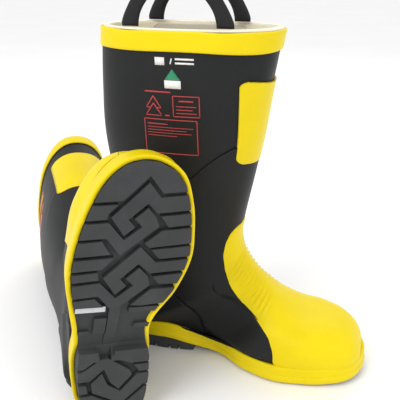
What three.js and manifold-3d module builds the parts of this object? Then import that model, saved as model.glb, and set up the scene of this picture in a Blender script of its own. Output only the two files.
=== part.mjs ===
// A pair of firefighter's rubber boots: the left one stands, the right one lies on its back beside it.
// Each boot is built in its own frame, in millimetres: +X from heel to toe, +Y to the outer side, +Z up.
import * as THREE from 'three';
import { mergeVertices } from 'three/addons/utils/BufferGeometryUtils.js';
import Module from 'manifold-3d';

const wasm = await Module();
wasm.setup();

// Overall sizes
const bootHeight = 398;          // rim above the floor
const footLength = 291;          // sole, heel to toe
const footWidth = 112;           // sole, at the ball
const shaftDepth = 190;          // rim, front to back
const shaftWidth = 99;           // rim, side to side
const calfWidth = 104;           // widest part of the leg, side to side
const ankleWidth = 82;           // narrowest part above the heel
const ankleHeight = 176;         // where the leg begins to turn into the foot
const instepLift = 0;            // extra height of the instep and the toe
const legLean = 16;              // how far the rim sits towards the inner side

// Walls and layers
const rubberWall = 3;
const feltWall = 3.4;
const guardWall = 2;
const overlayWall = 1.3;
const gap = 0.3;                 // clearance between neighbouring pieces
const soleFloor = 2.5;           // rubber under the foot inside the upper

// Sole
const heelRise = 20;             // underside of the rand above the floor at the heel
const forefootRise = 2.3;        // the same at the ball
const toeSpring = 7;
const soleBand = 10;             // outsole edge hidden behind the rand
const lugDepth = 6;
const heelBevel = 14;            // length of the worn-back edge at the rear of the heel
const randHeight = 20;
const randWall = 3;
const randLedge = 1;             // how far the lower edge of the rand stands out
const randLedgeHeight = 8;

// Steel and stiffeners
const steelToeWall = 1.8;
const steelToeLength = 56;
const toeStripWidth = 9;
const counterWall = 1.5;
const plateWall = 1.2;
const shankWall = 1.5;
const shankWidth = 16;
const shankLength = 96;
const boardWall = 2;
const insoleWall = 5;

// Collar and pull handles
const collarHeight = 24;
const collarWall = 2.5;
const lipHeight = 2;
const handleSpan = 97;           // between the middles of the two feet
const handleCentre = 83;         // middle of the loop from the back of the heel
const handleWidth = 17;          // strap, seen from the side
const handleThickness = 7.5;
const handleRise = 57;           // top of the loop above the rim
const handleSet = 35;            // from the middle of the leg to the strap
const anchorDepth = 36;          // strap end inside the wall, below the rim
const anchorWall = 2;
const patchWall = 1.5;

// Guards on the outside
const shinGuardWidth = 70;
const shinGuardHeight = 88;
const shinGuardBase = 261;
const shinGuardCorner = 7;
const backstayWidth = 18;
const plaqueLength = 20;
const plaqueWidth = 34;

// Row origin: a point on the rear tread block of the left heel
const originX = 22;
const originY = 25;

// Resting pose of the right boot
const lieTilt = 3;               // degrees, calf and heel on the floor
const lieRoll = 10.5;            // degrees, toe leaning towards the left boot
const lieTurn = 39;              // degrees, leg pointing back and away
const lieX = 37;
const lieY = -166;

const ringPoints = 14;
const smooth = (value) => THREE.MathUtils.smoothstep(value, 0, 1);

// Underside of the rand along the foot
function randLow(x) {
  const share = x / footLength;
  const fall = smooth((share - 0.165) / 0.27);
  const spring = Math.max(0, (share - 0.76) / 0.24);
  return heelRise + (forefootRise - heelRise) * fall + toeSpring * spring * spring;
}
const footFloor = (x) => randLow(x) + soleBand + gap;
const randHigh = (x) => randLow(x) + randHeight;

// Sole outline as shares of the length and of the width, heel first, inner side first
const soleShape = [[0.005, 0.01], [0.016, -0.277], [0.11, -0.322], [0.25, -0.295], [0.406, -0.223],
  [0.54, -0.411], [0.662, -0.5], [0.763, -0.478], [0.868, -0.42], [0.956, -0.312], [1, -0.08],
  [0.987, 0.143], [0.93, 0.308], [0.829, 0.425], [0.714, 0.492], [0.595, 0.51], [0.464, 0.447],
  [0.335, 0.376], [0.234, 0.366], [0.115, 0.321], [0.021, 0.241]];
const soleCurve = new THREE.CatmullRomCurve3(
  soleShape.map(([x, y]) => new THREE.Vector3(x * footLength, y * footWidth, 0)), true);
const solePoints = soleCurve.getPoints(34).slice(0, -1);

// A plan or side outline moved outwards by amount, with its corners kept sharp
function grown(points, amount) {
  const turn = Math.sign(THREE.ShapeUtils.area(points));
  return points.map((point, i) => {
    const before = point.clone().sub(points[(i + points.length - 1) % points.length]).normalize();
    const after = points[(i + 1) % points.length].clone().sub(point).normalize();
    const normals = [before, after].map((side) => new THREE.Vector2(side.y, -side.x).multiplyScalar(turn));
    const stretch = amount / (1 + normals[0].dot(normals[1]));
    return point.clone().add(normals[0].add(normals[1]).multiplyScalar(stretch));
  });
}
const outline = (grow) => grown(solePoints.map((p) => new THREE.Vector2(p.x, p.y)), grow);

// Half of the sole's width on one side at a distance from the back of the heel
function halfWidth(x, side) {
  const ends = [...solePoints].sort((a, b) => a.x - b.x);
  const edgePoints = ends.filter((p, i) => i === 0 || i === ends.length - 1 || p.y * side > 0.1);
  for (let i = 1; i < edgePoints.length; i += 1) {
    const [a, b] = [edgePoints[i - 1], edgePoints[i]];
    if (x >= a.x && x <= b.x) {
      return Math.max(0, THREE.MathUtils.mapLinear(x, a.x, b.x, a.y * side, b.y * side));
    }
  }
  return 0;
}

// Solids
function solidOf(geometry) {
  const bare = geometry.clone();
  bare.deleteAttribute('normal');
  bare.deleteAttribute('uv');
  const merged = mergeVertices(bare, 1e-4);
  return new wasm.Manifold(new wasm.Mesh({
    numProp: 3,
    vertProperties: new Float32Array(merged.attributes.position.array),
    triVerts: new Uint32Array(merged.index.array),
  }));
}

function geometryOf(solid) {
  const mesh = solid.getMesh();
  const geometry = new THREE.BufferGeometry();
  const place = new Float32Array(mesh.numVert * 3);
  for (let i = 0; i < mesh.numVert; i += 1) {
    for (let k = 0; k < 3; k += 1) {
      place[i * 3 + k] = mesh.vertProperties[i * mesh.numProp + k];
    }
  }
  geometry.setAttribute('position', new THREE.BufferAttribute(place, 3));
  geometry.setIndex(new THREE.BufferAttribute(new Uint32Array(mesh.triVerts), 1));
  return geometry;
}

// Leaves out repeated points and points in the middle of a straight stretch
function cleaned(points) {
  const kept = points.filter((p, i) => p.distanceTo(points[(i + points.length - 1) % points.length]) > 1e-3);
  return kept.filter((p, i) => {
    const before = kept[(i + kept.length - 1) % kept.length];
    const after = kept[(i + 1) % kept.length];
    const run = after.clone().sub(before);
    return Math.abs(run.cross(p.clone().sub(before))) > 1e-3 * run.length();
  });
}

function extruded(points, depth) {
  return new THREE.ExtrudeGeometry(new THREE.Shape(cleaned(points)), { depth, bevelEnabled: false });
}
const flat = (pairs) => pairs.map(([a, b]) => new THREE.Vector2(a, b));

// Upright prism over a plan outline
function planPrism(points, low, high) {
  return solidOf(extruded(points, high - low).translate(0, 0, low));
}

// Prism across the boot over a side outline in X and Z
function sidePrism(points, reach = 160) {
  return solidOf(extruded(points, reach * 2).rotateX(Math.PI / 2).translate(0, reach, 0));
}

// Prism along the foot over a front outline in Y and Z
function frontPrism(points, start, end) {
  const turned = extruded(points, end - start).rotateX(Math.PI / 2).rotateZ(Math.PI / 2);
  return solidOf(turned.translate(start, 0, 0));
}

// Slab that follows two curves along the foot
function curvedSlab(low, high, start = -20, end = footLength + 20, steps = 18) {
  const under = [];
  const over = [];
  for (let i = 0; i <= steps; i += 1) {
    const x = start + ((end - start) * i) / steps;
    under.push(new THREE.Vector2(x, low(x)));
    over.unshift(new THREE.Vector2(x, high(x)));
  }
  return sidePrism([...under, ...over]);
}

// Rings of the boot: front and back point, half widths to the inner and outer side, fullness of each half
function legRing(share, front, back, width, fullness) {
  const z = ankleHeight + share * (bootHeight - ankleHeight);
  const stretch = shaftDepth / 190;
  return { front: [back + (front - back) * stretch, z], back: [back, z], inner: width / 2, outer: width / 2,
    shift: -legLean * share, fullFront: fullness, fullBack: fullness, toe: 0 };
}

function ankleRing(front, back, width, fullBack) {
  return { front: [front[0], front[1] * ankleHeight / 176], back: [back[0], back[1] * ankleHeight / 176],
    inner: width / 2, outer: width / 2, shift: 0, fullFront: 2.2, fullBack, toe: 0 };
}

function footRing(frontShare, frontHeight, backShare, fullFront, shrink = 0) {
  const x = backShare * footLength;
  const middle = (backShare * 0.6 + frontShare * 0.4) * footLength;
  return { front: [frontShare * footLength, frontHeight + instepLift], back: [x, footFloor(x) + shrink],
    inner: halfWidth(middle, -1) - 1 - shrink * 0.6, outer: halfWidth(middle, 1) - 1 - shrink * 0.6, shift: 0,
    fullFront, fullBack: 5, toe: smooth((frontShare - 0.74) / 0.07) };
}

const rings = [
  legRing(1, 182, -8, shaftWidth, 2.3),
  legRing(0.7, 170, -15, calfWidth - 1, 2.3),
  legRing(0.5, 163, -18, calfWidth, 2.3),
  legRing(0.28, 153, -15, calfWidth - 5, 2.3),
  legRing(0, 140, -6, ankleWidth + 3, 2.3),
  ankleRing([138, 162], [-2, 148], ankleWidth, 2.4),
  ankleRing([142, 138], [1, 90], ankleWidth - 2, 3),
  ankleRing([147, 128], [0.5, 62], ankleWidth - 1, 3.6),
  { ...ankleRing([153, 119], [2, 0], ankleWidth + 2, 5), back: [2.5, footFloor(0) + 2] },
  footRing(0.553, 109, 0.12, 2.2),
  footRing(0.588, 98.5, 0.25, 2.2),
  footRing(0.63, 87, 0.37, 2.2),
  footRing(0.68, 75, 0.49, 2.3),
  footRing(0.768, 63.5, 0.673, 2.5),
  footRing(0.82, 61.5, 0.763, 2.6),
  footRing(0.885, 59, 0.865, 2.6),
  footRing(0.947, 50, 0.943, 2.6),
  footRing(0.972, 40.5, 0.97, 2.6, 2),
  footRing(0.984, 32, 0.983, 2.4, 7),
];

// One ring moved outwards by grow, its foot bottom raised by lift
function ringLoop(ring, grow, lift, extraTop) {
  const raise = ring.fullBack === 5 ? lift : 0;
  const reach = Math.max(0, (ring.back[0] / footLength - 0.7) / 0.3) * grow;
  const front = new THREE.Vector2(ring.front[0] + reach, ring.front[1] + extraTop);
  const back = new THREE.Vector2(ring.back[0] + reach, ring.back[1] + raise + extraTop);
  const half = front.clone().sub(back).multiplyScalar(0.5);
  const middle = front.clone().add(back).multiplyScalar(0.5);
  const unit = half.clone().normalize();
  const length = half.length();
  const loop = [];
  for (let i = 0; i < ringPoints; i += 1) {
    const angle = (2 * Math.PI * i) / ringPoints;
    const c = Math.cos(angle);
    const s = Math.sin(angle);
    const full = c > 0 ? ring.fullFront : ring.fullBack;
    const bottom = c < 0 && ring.fullBack === 5;
    const along = Math.sign(c) * Math.abs(c) ** (2 / full) * (length + (bottom ? 0 : grow));
    const width = Math.max(4, (s > 0 ? ring.outer : ring.inner) + grow);
    const across = Math.sign(s) * Math.abs(s) ** (2 / full) * width;
    const x = middle.x + unit.x * along;
    const z = middle.y + unit.y * along;
    const low = ring.fullBack === 5 && z < randHigh(x) + 2;
    const limit = Math.max(2, halfWidth(Math.min(x, footLength * 0.985), Math.sign(s)) + grow);
    loop.push([x, ring.shift + (low ? THREE.MathUtils.clamp(across, -limit, limit) : across), z]);
  }
  return loop;
}

function loft(loops) {
  const count = loops[0].length;
  const place = loops.flat(2);
  const index = [];
  for (let r = 0; r + 1 < loops.length; r += 1) {
    for (let i = 0; i < count; i += 1) {
      const j = (i + 1) % count;
      const a = r * count + i;
      const b = r * count + j;
      index.push(a, a + count, b, b, a + count, b + count);
    }
  }
  const middles = [loops[0], loops[loops.length - 1]].map((loop) => [0, 1, 2].map(
    (k) => loop.reduce((sum, point) => sum + point[k], 0) / count));
  place.push(...middles[0], ...middles[1]);
  const first = loops.length * count;
  const last = (loops.length - 1) * count;
  for (let i = 0; i < count; i += 1) {
    const j = (i + 1) % count;
    index.push(first, i, j, first + 1, last + j, last + i);
  }
  const geometry = new THREE.BufferGeometry();
  geometry.setAttribute('position', new THREE.Float32BufferAttribute(place, 3));
  geometry.setIndex(index);
  return solidOf(geometry);
}

const everywhere = sidePrism(flat([[-200, -60], [600, -60], [600, 700], [-200, 700]]), 300);
// The boot's volume grown by grow: toeGrow is added over the toe, lift raises the floor of the foot
function bootVolume(grow, { lift = 0, toeGrow = 0, open = false } = {}) {
  const loops = rings.map((ring) => ringLoop(ring, grow + toeGrow * ring.toe, lift, 0));
  if (open) {
    loops.unshift(ringLoop(rings[0], grow, 0, 30));
  }
  return loft(loops);
}
const skin = (inner, outer, options) => bootVolume(outer, options).subtract(bootVolume(inner, { ...options, open: true }));

// Everything above a height
function above(z) {
  return sidePrism(flat([[-200, z], [600, z], [600, 700], [-200, 700]]), 300);
}

// Outlines of the outer pieces, seen from the side
const vampEdge = flat([[340, 181], [146, 181], [139, 177], [132, 169], [128, 160], [127, 148], [129, 135],
  [133, 121], [141, 104], [150, 90], [163, 78], [175, 66], [183, 57], [189, 47], [192, 33], [193, 2], [340, 2]]);
const heelEdge = flat([[-60, 128], [10, 122], [40, 108], [58, 96], [74, 83], [87, 75], [100, 65], [110, 53],
  [117, 38], [119, 2], [-60, 2]]);
const ankleEdge = flat([[-60, 194], [20, 204], [60, 221], [97, 244], [111, 259], [125, 270], [141, 280],
  [200, 296], [200, 2], [-60, 2]]);

function roundedRectangle(centreY, baseZ, width, height, corner) {
  const left = centreY - width / 2;
  const shape = new THREE.Shape();
  shape.moveTo(left + corner, baseZ);
  shape.lineTo(left + width - corner, baseZ);
  shape.quadraticCurveTo(left + width, baseZ, left + width, baseZ + corner);
  shape.lineTo(left + width, baseZ + height - corner);
  shape.quadraticCurveTo(left + width, baseZ + height, left + width - corner, baseZ + height);
  shape.lineTo(left + corner, baseZ + height);
  shape.quadraticCurveTo(left, baseZ + height, left, baseZ + height - corner);
  shape.lineTo(left, baseZ + corner);
  shape.quadraticCurveTo(left, baseZ, left + corner, baseZ);
  return shape.getPoints(4);
}

// Tread blocks as [x, y] in millimetres on a sole 302 long and 112 wide
const edge = 75;
const treadBlocks = [
  [[277, -edge], [271.5, -19], [288, -5], [263.5, 18], [258.5, edge], [330, edge], [330, -edge]],
  [[273, -edge], [267, -17.5], [281.5, -5], [246.5, 27.5], [227, 13.5], [236.5, 4], [244.5, 11], [261, -5.5],
    [251, -16], [257.5, -edge]],
  [[253.5, -edge], [247.5, -20], [236, -29], [241, -edge]],
  [[256.5, -6.5], [245, 5.5], [236.5, -3], [222.5, 13], [241, 29], [237, edge], [221.5, edge], [224.5, 29.5],
    [206, 14.5], [237, -19.5], [247, -15]],
  [[237.5, -edge], [232, -23], [218.5, -8], [213.5, -13], [219.5, -edge]],
  [[216, -edge], [211, -15.5], [200.5, -25], [204, -edge]],
  [[259.5, 22], [255, edge], [240.5, edge], [244.5, 31], [250, 30.5]],
  [[221.5, 33], [217, edge], [203, edge], [207, 24]],
  [[203, 19.5], [199.5, edge], [187, edge], [190.5, 30]],
  [[200.5, -edge], [196.5, -22], [214.5, -4.5], [180.5, 27.5], [161, 14], [170.5, 4], [179, 11], [195.5, -5],
    [184, -18], [188, -edge]],
  [[184.5, -edge], [180, -21], [171, -29], [170, -edge]],
  [[191, -6.5], [179, 5.5], [170.5, -3], [156.5, 13], [175, 30], [171, edge], [156.5, edge], [160, 30],
    [141, 14.5], [170, -19.5], [181, -16]],
  [[187, 33.5], [183, edge], [174.5, edge], [178.5, 31.5]],
  [[166.5, -edge], [165, -21.5], [147, -3], [146, -13], [150, -edge]],
  [[157, 33], [153, edge], [147, edge], [147, 24]],
  [[90, -edge], [90, 5], [81, 5], [72.5, -14], [72.5, -edge]],
  [[90, 22], [90, edge], [68, edge], [70, 35], [81, 22]],
  [[81, 10.5], [63.5, -13], [56.5, -17], [38.5, -4.5], [48, 5], [67.5, 14], [53.5, 27], [51.5, edge],
    [62.5, edge], [66, 36], [81, 18.5]],
  [[69.5, -edge], [69.5, -17.5], [60, -24], [60, -edge]],
  [[57, -edge], [56.5, -22.5], [35, -7], [45, 7.5], [62, 15.5], [49.5, 25.5], [37, 23], [17.5, -9.5],
    [41, -31], [44, -edge]],
  [[48, 30.5], [48, edge], [34, edge], [37, 27.5]],
  [[40, -edge], [37.5, -33], [12.5, -10], [33, 22.5], [31, edge], [-20, edge], [-20, -edge]],
];
const archRibs = [
  [[150, 6], [150, 17], [92, 17], [92, 6]],
  [[143, -edge], [143, -3], [137, -3], [137, -edge]],
  [[122, -edge], [122, -11], [116, -11], [116, -edge]],
  [[147, 20], [147, edge], [140, edge], [140, 20]],
  [[116, 34], [116, edge], [110, edge], [110, 34]],
];
const onSole = (points) => points.map(([x, y]) => new THREE.Vector2((x * footLength) / 302, (y * footWidth) / 112));

function treadLow(x) {
  const spring = Math.max(0, (x / footLength - 0.78) / 0.22);
  const bevel = Math.max(0, 1 - x / heelBevel);
  return toeSpring * spring * spring + 7 * bevel * bevel;
}

function makeOutsole() {
  const scale = footLength / 302;
  const breastLow = 84 * scale;
  const breastHigh = 99 * scale;
  const slabLow = (x) => {
    const spring = Math.max(0, (x / footLength - 0.78) / 0.22);
    if (x < breastLow) {
      return lugDepth;
    }
    if (x < breastHigh) {
      return lugDepth + ((x - breastLow) / (breastHigh - breastLow)) * (randLow(x) + 2 - lugDepth);
    }
    return Math.max(randLow(x) + 2, lugDepth) + toeSpring * spring * spring * 0.4;
  };
  const topOf = (x) => footFloor(x) - gap;
  let tread = curvedSlab(slabLow, (x) => topOf(x) + 20);
  for (const block of treadBlocks) {
    tread = tread.add(planPrism(onSole(block), -5, 12));
  }
  const breast = sidePrism(flat([[78, -5], [84, -5], [84, 0], [99, 22], [99, 40], [78, 40]]
    .map(([x, z]) => [x * scale, z])));
  const notch = planPrism(onSole([[104, 8], [104, 20], [76, 20], [76, 8]]), -10, lugDepth + 4);
  tread = tread.add(breast.subtract(notch));
  for (const rib of archRibs) {
    tread = tread.add(planPrism(onSole(rib), 0, 24)
      .intersect(curvedSlab((x) => Math.max(randLow(x) - 0.6, 1), () => 60)));
  }
  const forward = curvedSlab(treadLow, topOf, -2, footLength + 4, 18);
  return tread.intersect(forward).intersect(planPrism(outline(0), -20, 80)).subtract(bootVolume(gap));
}

function makePlaque() {
  const scale = footLength / 302;
  const start = 111 * scale;
  const low = (x) => Math.max(randLow(x) - 0.4, 2);
  const slab = curvedSlab(low, (x) => Math.max(randLow(x) + 2, lugDepth) - gap, start, start + plaqueLength, 6);
  const plan = planPrism(flat([[start, 18], [start + plaqueLength, 18], [start + plaqueLength, plaqueWidth - 4],
    [start, plaqueWidth - 4]]), -20, 60);
  return slab.intersect(plan);
}

function makeRand() {
  const lower = planPrism(outline(gap + randWall + randLedge), -40, 120)
    .intersect(curvedSlab(randLow, (x) => randLow(x) + randLedgeHeight));
  const upper = planPrism(outline(gap + randWall), -40, 120)
    .intersect(curvedSlab((x) => randLow(x) + randLedgeHeight - 1, randHigh));
  const inside = planPrism(outline(gap), -60, 160).intersect(curvedSlab(() => -40, (x) => footFloor(x) + 3));
  return lower.add(upper).subtract(inside).subtract(bootVolume(gap));
}

// A layer over the boot, cut to a region; nothing reaches the rand
function layer(inner, outer, region, options) {
  const clear = curvedSlab(() => -60, (x) => randHigh(x) + gap);
  return skin(inner, outer, options).intersect(region).subtract(clear);
}

function soleLayer(inset, low, high) {
  const slab = curvedSlab((x) => footFloor(x) + low, (x) => footFloor(x) + high);
  return slab.intersect(planPrism(outline(-inset), -40, 160));
}

function anchorRegion(side, margin) {
  const start = handleCentre - handleSpan / 2 - handleWidth / 2 - 2 - margin;
  const end = handleCentre + handleSpan / 2 + handleWidth / 2 + 2 + margin;
  const corner = flat([[start, 0], [end, 0], [end, side * 90], [start, side * 90]]);
  const points = side > 0 ? corner : corner.reverse();
  const low = bootHeight - anchorDepth - margin;
  return planPrism(points.map((p) => new THREE.Vector2(p.x, p.y + -legLean)), low, bootHeight + 0.2 + margin * 20);
}

function makeHandle(side) {
  const halfSpan = handleSpan / 2;
  const outer = halfSpan + handleWidth / 2;
  const inner = halfSpan - handleWidth / 2;
  const pivot = bootHeight + gap + handleThickness / 2 + 0.2;
  const top = handleRise - (pivot - bootHeight);
  const shape = new THREE.Shape();
  shape.moveTo(-outer, 0);
  const under = top - handleWidth;
  shape.bezierCurveTo(-outer + 5, top * 0.4, -outer * 0.52, top, 0, top);
  shape.bezierCurveTo(outer * 0.52, top, outer - 5, top * 0.4, outer, 0);
  shape.lineTo(inner, 0);
  shape.bezierCurveTo(inner - 3, under * 0.4, inner * 0.48, under, 0, under);
  shape.bezierCurveTo(-inner * 0.48, under, -inner + 3, under * 0.4, -inner, 0);
  const bevel = 2.4;
  const strap = new THREE.ExtrudeGeometry(shape, { depth: handleThickness - 2 * bevel, bevelEnabled: true,
    bevelThickness: bevel, bevelSize: bevel, bevelOffset: -bevel, bevelSegments: 1, curveSegments: 6 });
  strap.rotateX(Math.PI / 2).translate(0, handleThickness / 2 - bevel, 0);
  let loop = solidOf(strap);
  for (const end of [-1, 1]) {
    const foot = new THREE.CylinderGeometry(handleThickness / 2, handleThickness / 2, handleWidth, 10);
    foot.rotateZ(Math.PI / 2).translate(end * halfSpan, 0, 0);
    loop = loop.add(solidOf(foot));
  }
  return loop.translate([handleCentre, -legLean + side * handleSet, pivot]);
}

function makePieces() {
  const rim = above(bootHeight - lipHeight - gap);
  const collarZone = above(bootHeight - collarHeight);
  const shinZone = frontPrism(roundedRectangle(-legLean / 2, shinGuardBase, shinGuardWidth, shinGuardHeight,
    shinGuardCorner), 90, 260);
  const shinClear = frontPrism(roundedRectangle(-legLean / 2, shinGuardBase - 0.4, shinGuardWidth + 0.8,
    shinGuardHeight + 0.8, shinGuardCorner), 90, 260);
  const toeStart = footLength - steelToeLength;
  const toeZone = sidePrism(flat([[toeStart, -20], [400, -20], [400, 200], [toeStart, 200]]));
  const stripZone = sidePrism(flat([[toeStart - toeStripWidth, -20], [toeStart - gap, -20], [toeStart - gap, 200],
    [toeStart - toeStripWidth, 200]]));
  const vampZone = sidePrism(vampEdge);
  const heelZone = sidePrism(heelEdge);
  const ankleZone = sidePrism(ankleEdge);
  const vampClear = sidePrism(grown(vampEdge, 0.5));
  const heelClear = sidePrism(grown(heelEdge, 0.5));
  const toeStep = steelToeWall + gap;

  const upper = skin(-rubberWall, 0, {}).subtract(rim);
  const floorFill = bootVolume(-rubberWall / 2, {}).intersect(curvedSlab(() => -20, (x) => footFloor(x) + soleFloor));
  const liningTop = above(bootHeight - 0.5);
  const liningOuter = -rubberWall - gap;
  const liningInner = liningOuter - feltWall;
  const stack = soleFloor + gap * 3 + plateWall + shankWall + boardWall + gap;
  const pieces = {};
  pieces.outsole = makeOutsole();
  pieces.arch_plaque = makePlaque();
  pieces.rand = makeRand();
  pieces.upper = upper.add(floorFill);

  const anchors = [-1, 1].map((side) => {
    const zone = anchorRegion(side, 0);
    const low = -rubberWall - gap;
    return skin(low - anchorWall, low, {}).add(skin(low - anchorWall, low, { open: true }).intersect(above(bootHeight)))
      .intersect(zone);
  });
  const pocket = [-1, 1].map((side) => anchorRegion(side, gap)).reduce((sum, zone) => sum.add(zone));
  const pocketWall = bootVolume(0.5, { open: true }).subtract(bootVolume(liningOuter - anchorWall - gap, { open: true }));
  const liningBody = bootVolume(liningOuter, {}).subtract(bootVolume(liningInner, { open: true }));
  const liningFloor = curvedSlab(() => -20, (x) => footFloor(x) + stack);
  const liningBase = bootVolume(liningOuter, {}).intersect(curvedSlab((x) => footFloor(x) + stack,
    (x) => footFloor(x) + stack + feltWall));
  pieces.lining = liningBody.subtract(liningFloor).add(liningBase).subtract(liningTop)
    .subtract(pocketWall.intersect(pocket));

  const plateLow = soleFloor + gap;
  const shankLow = plateLow + plateWall + gap;
  const boardLow = shankLow + shankWall + gap;
  const cavity = bootVolume(-rubberWall - gap, {});
  pieces.midsole_plate = soleLayer(rubberWall + 4, plateLow, plateLow + plateWall).intersect(cavity);
  const shankStart = 0.2 * footLength;
  pieces.shank = soleLayer(rubberWall + 4, shankLow, shankLow + shankWall)
    .intersect(planPrism(flat([[shankStart, 4 - shankWidth / 2], [shankStart + shankLength, 4 - shankWidth / 2],
      [shankStart + shankLength, 4 + shankWidth / 2], [shankStart, 4 + shankWidth / 2]]), -40, 160));
  pieces.insole_board = soleLayer(rubberWall + 5, boardLow, boardLow + boardWall).intersect(cavity);
  const insoleLow = stack + feltWall + gap;
  pieces.insole = soleLayer(rubberWall + feltWall + 5, insoleLow, insoleLow + insoleWall)
    .intersect(bootVolume(liningInner - gap, {}));

  pieces.vamp = layer(gap, gap + guardWall, vampZone, { toeGrow: toeStep });
  pieces.toe_cap = layer(gap, steelToeWall, toeZone, {});
  pieces.toe_strip = layer(gap, gap + 0.9, stripZone, {});
  pieces.heel_counter = layer(gap, gap + counterWall, sidePrism(grown(heelEdge, -1.5)), {});
  pieces.heel_overlay = layer(gap * 2 + counterWall, gap * 2 + counterWall + overlayWall, heelZone, {});
  pieces.ankle_overlay = layer(gap, gap + overlayWall, ankleZone, {}).subtract(vampClear).subtract(heelClear)
    .subtract(shinClear);
  pieces.shin_guard = layer(gap, gap + guardWall, shinZone, {});
  const strip = frontPrism(flat([[-backstayWidth / 2 - 6, 215], [backstayWidth / 2 - 6, 215],
    [backstayWidth / 2 - legLean * 0.9, bootHeight - collarHeight - gap],
    [-backstayWidth / 2 - legLean * 0.9, bootHeight - collarHeight - gap]]), -60, 40);
  pieces.backstay = layer(gap, gap + overlayWall, strip, {});
  const band = skin(gap, gap + collarWall, {}).intersect(collarZone);
  const lip = bootVolume(gap + collarWall, {}).subtract(bootVolume(-rubberWall, { open: true }))
    .intersect(above(bootHeight - lipHeight));
  pieces.collar = band.add(lip).subtract(pocket.intersect(bootVolume(-rubberWall, { open: true })));
  pieces.handle_inner = makeHandle(-1);
  pieces.handle_outer = makeHandle(1);
  pieces.anchor_inner = anchors[0];
  pieces.anchor_outer = anchors[1];
  const patchTop = above(bootHeight - 3);
  const patch = skin(liningInner - gap - patchWall, liningInner - gap, {});
  pieces.patch_inner = patch.intersect(anchorRegion(-1, 0)).subtract(patchTop);
  pieces.patch_outer = patch.intersect(anchorRegion(1, 0)).subtract(patchTop);
  return pieces;
}

const finishes = {
  outsole: ['#3a3b3d', 0.7, 0],
  arch_plaque: ['#3a3b3d', 0.65, 0],
  rand: ['#e8cf1c', 0.4, 0],
  upper: ['#1d1b1b', 0.45, 0],
  lining: ['#d8d2bd', 0.95, 0],
  midsole_plate: ['#9a9da0', 0.35, 1],
  shank: ['#8d9093', 0.35, 1],
  insole_board: ['#8a7355', 0.85, 0],
  insole: ['#5a5c60', 0.9, 0],
  vamp: ['#f0d81e', 0.35, 0],
  toe_cap: ['#a3a6a8', 0.35, 1],
  toe_strip: ['#242424', 0.7, 0],
  heel_counter: ['#2b2b2b', 0.6, 0],
  heel_overlay: ['#1f1d1d', 0.45, 0],
  ankle_overlay: ['#1f1d1d', 0.45, 0],
  shin_guard: ['#efd61d', 0.38, 0],
  backstay: ['#1f1d1d', 0.45, 0],
  collar: ['#ecd21c', 0.4, 0],
  handle_inner: ['#2a2929', 0.5, 0],
  handle_outer: ['#2a2929', 0.5, 0],
  anchor_inner: ['#2a2929', 0.6, 0],
  anchor_outer: ['#2a2929', 0.6, 0],
  patch_inner: ['#cfc8b2', 0.95, 0],
  patch_outer: ['#cfc8b2', 0.95, 0],
};

function meshOf(name, solid, [colour, roughness, metalness]) {
  const mesh = new THREE.Mesh(geometryOf(solid), new THREE.MeshStandardMaterial({ color: colour, roughness, metalness }));
  mesh.name = name;
  return mesh;
}

const pieces = makePieces();
const group = new THREE.Group();
const leftBoot = new THREE.Group();
const rightBoot = new THREE.Group();
for (const [name, solid] of Object.entries(pieces)) {
  leftBoot.add(meshOf(`left_${name}`, solid, finishes[name]));
  rightBoot.add(meshOf(`right_${name}`, solid.scale([1, -1, 1]), finishes[name]));
}

// The right boot turns its toe up and its leg back, then tilts, rolls and turns, and rests on the floor
const toeUp = new THREE.Matrix4().set(0, 1, 0, 0, 0, 0, 1, 0, 1, 0, 0, 0, 0, 0, 0, 1);
const radians = THREE.MathUtils.degToRad;
const pose = new THREE.Matrix4().makeRotationZ(radians(lieTurn))
  .multiply(new THREE.Matrix4().makeRotationY(radians(lieRoll)))
  .multiply(new THREE.Matrix4().makeRotationX(radians(lieTilt)))
  .multiply(toeUp);
rightBoot.applyMatrix4(pose);
rightBoot.position.set(lieX, lieY, 0);
rightBoot.updateMatrixWorld(true);
rightBoot.position.z = -new THREE.Box3().setFromObject(rightBoot, true).min.z;
group.add(leftBoot, rightBoot);
group.position.set(-originX, -originY, 0);

export default group;
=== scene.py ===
import math

import bmesh
import bpy
import numpy as np
from mathutils import Matrix, Vector


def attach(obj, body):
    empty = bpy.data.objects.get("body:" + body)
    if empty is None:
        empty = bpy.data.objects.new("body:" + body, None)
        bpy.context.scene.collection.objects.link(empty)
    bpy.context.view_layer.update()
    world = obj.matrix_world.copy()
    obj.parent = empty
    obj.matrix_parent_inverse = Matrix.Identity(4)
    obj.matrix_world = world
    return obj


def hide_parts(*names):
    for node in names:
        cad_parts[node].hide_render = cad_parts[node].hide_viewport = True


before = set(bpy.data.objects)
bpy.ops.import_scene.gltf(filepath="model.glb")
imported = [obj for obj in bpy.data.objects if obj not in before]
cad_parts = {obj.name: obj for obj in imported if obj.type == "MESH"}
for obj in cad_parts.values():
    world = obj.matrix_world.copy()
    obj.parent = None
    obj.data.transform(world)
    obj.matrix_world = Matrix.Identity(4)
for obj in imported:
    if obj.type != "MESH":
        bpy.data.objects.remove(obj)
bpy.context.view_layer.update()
print("frame loaded with", len(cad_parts), "solids")

# Every boot is shaped in its own frame in millimetres: x from heel to toe, y to the outer side, z up.
foot = {"length": 291.0, "width": 112.0, "originX": 22.0, "originY": 25.0}
leg = {"rim": 398.0, "ankle": 176.0, "width": 99.0, "calf": 104.0, "ankleWidth": 82.0, "lean": 16.0}
sole = {"heelRise": 20.0, "ballRise": 2.3, "toeSpring": 7.0, "band": 10.3, "randHeight": 20.0}
lying = {"tilt": 3.0, "roll": 10.5, "turn": 39.0, "x": 37.0, "y": -166.0, "lift": 6.1563}


def ramp(value):
    value = np.clip(value, 0, 1)
    return value * value * (3 - 2 * value)


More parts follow.
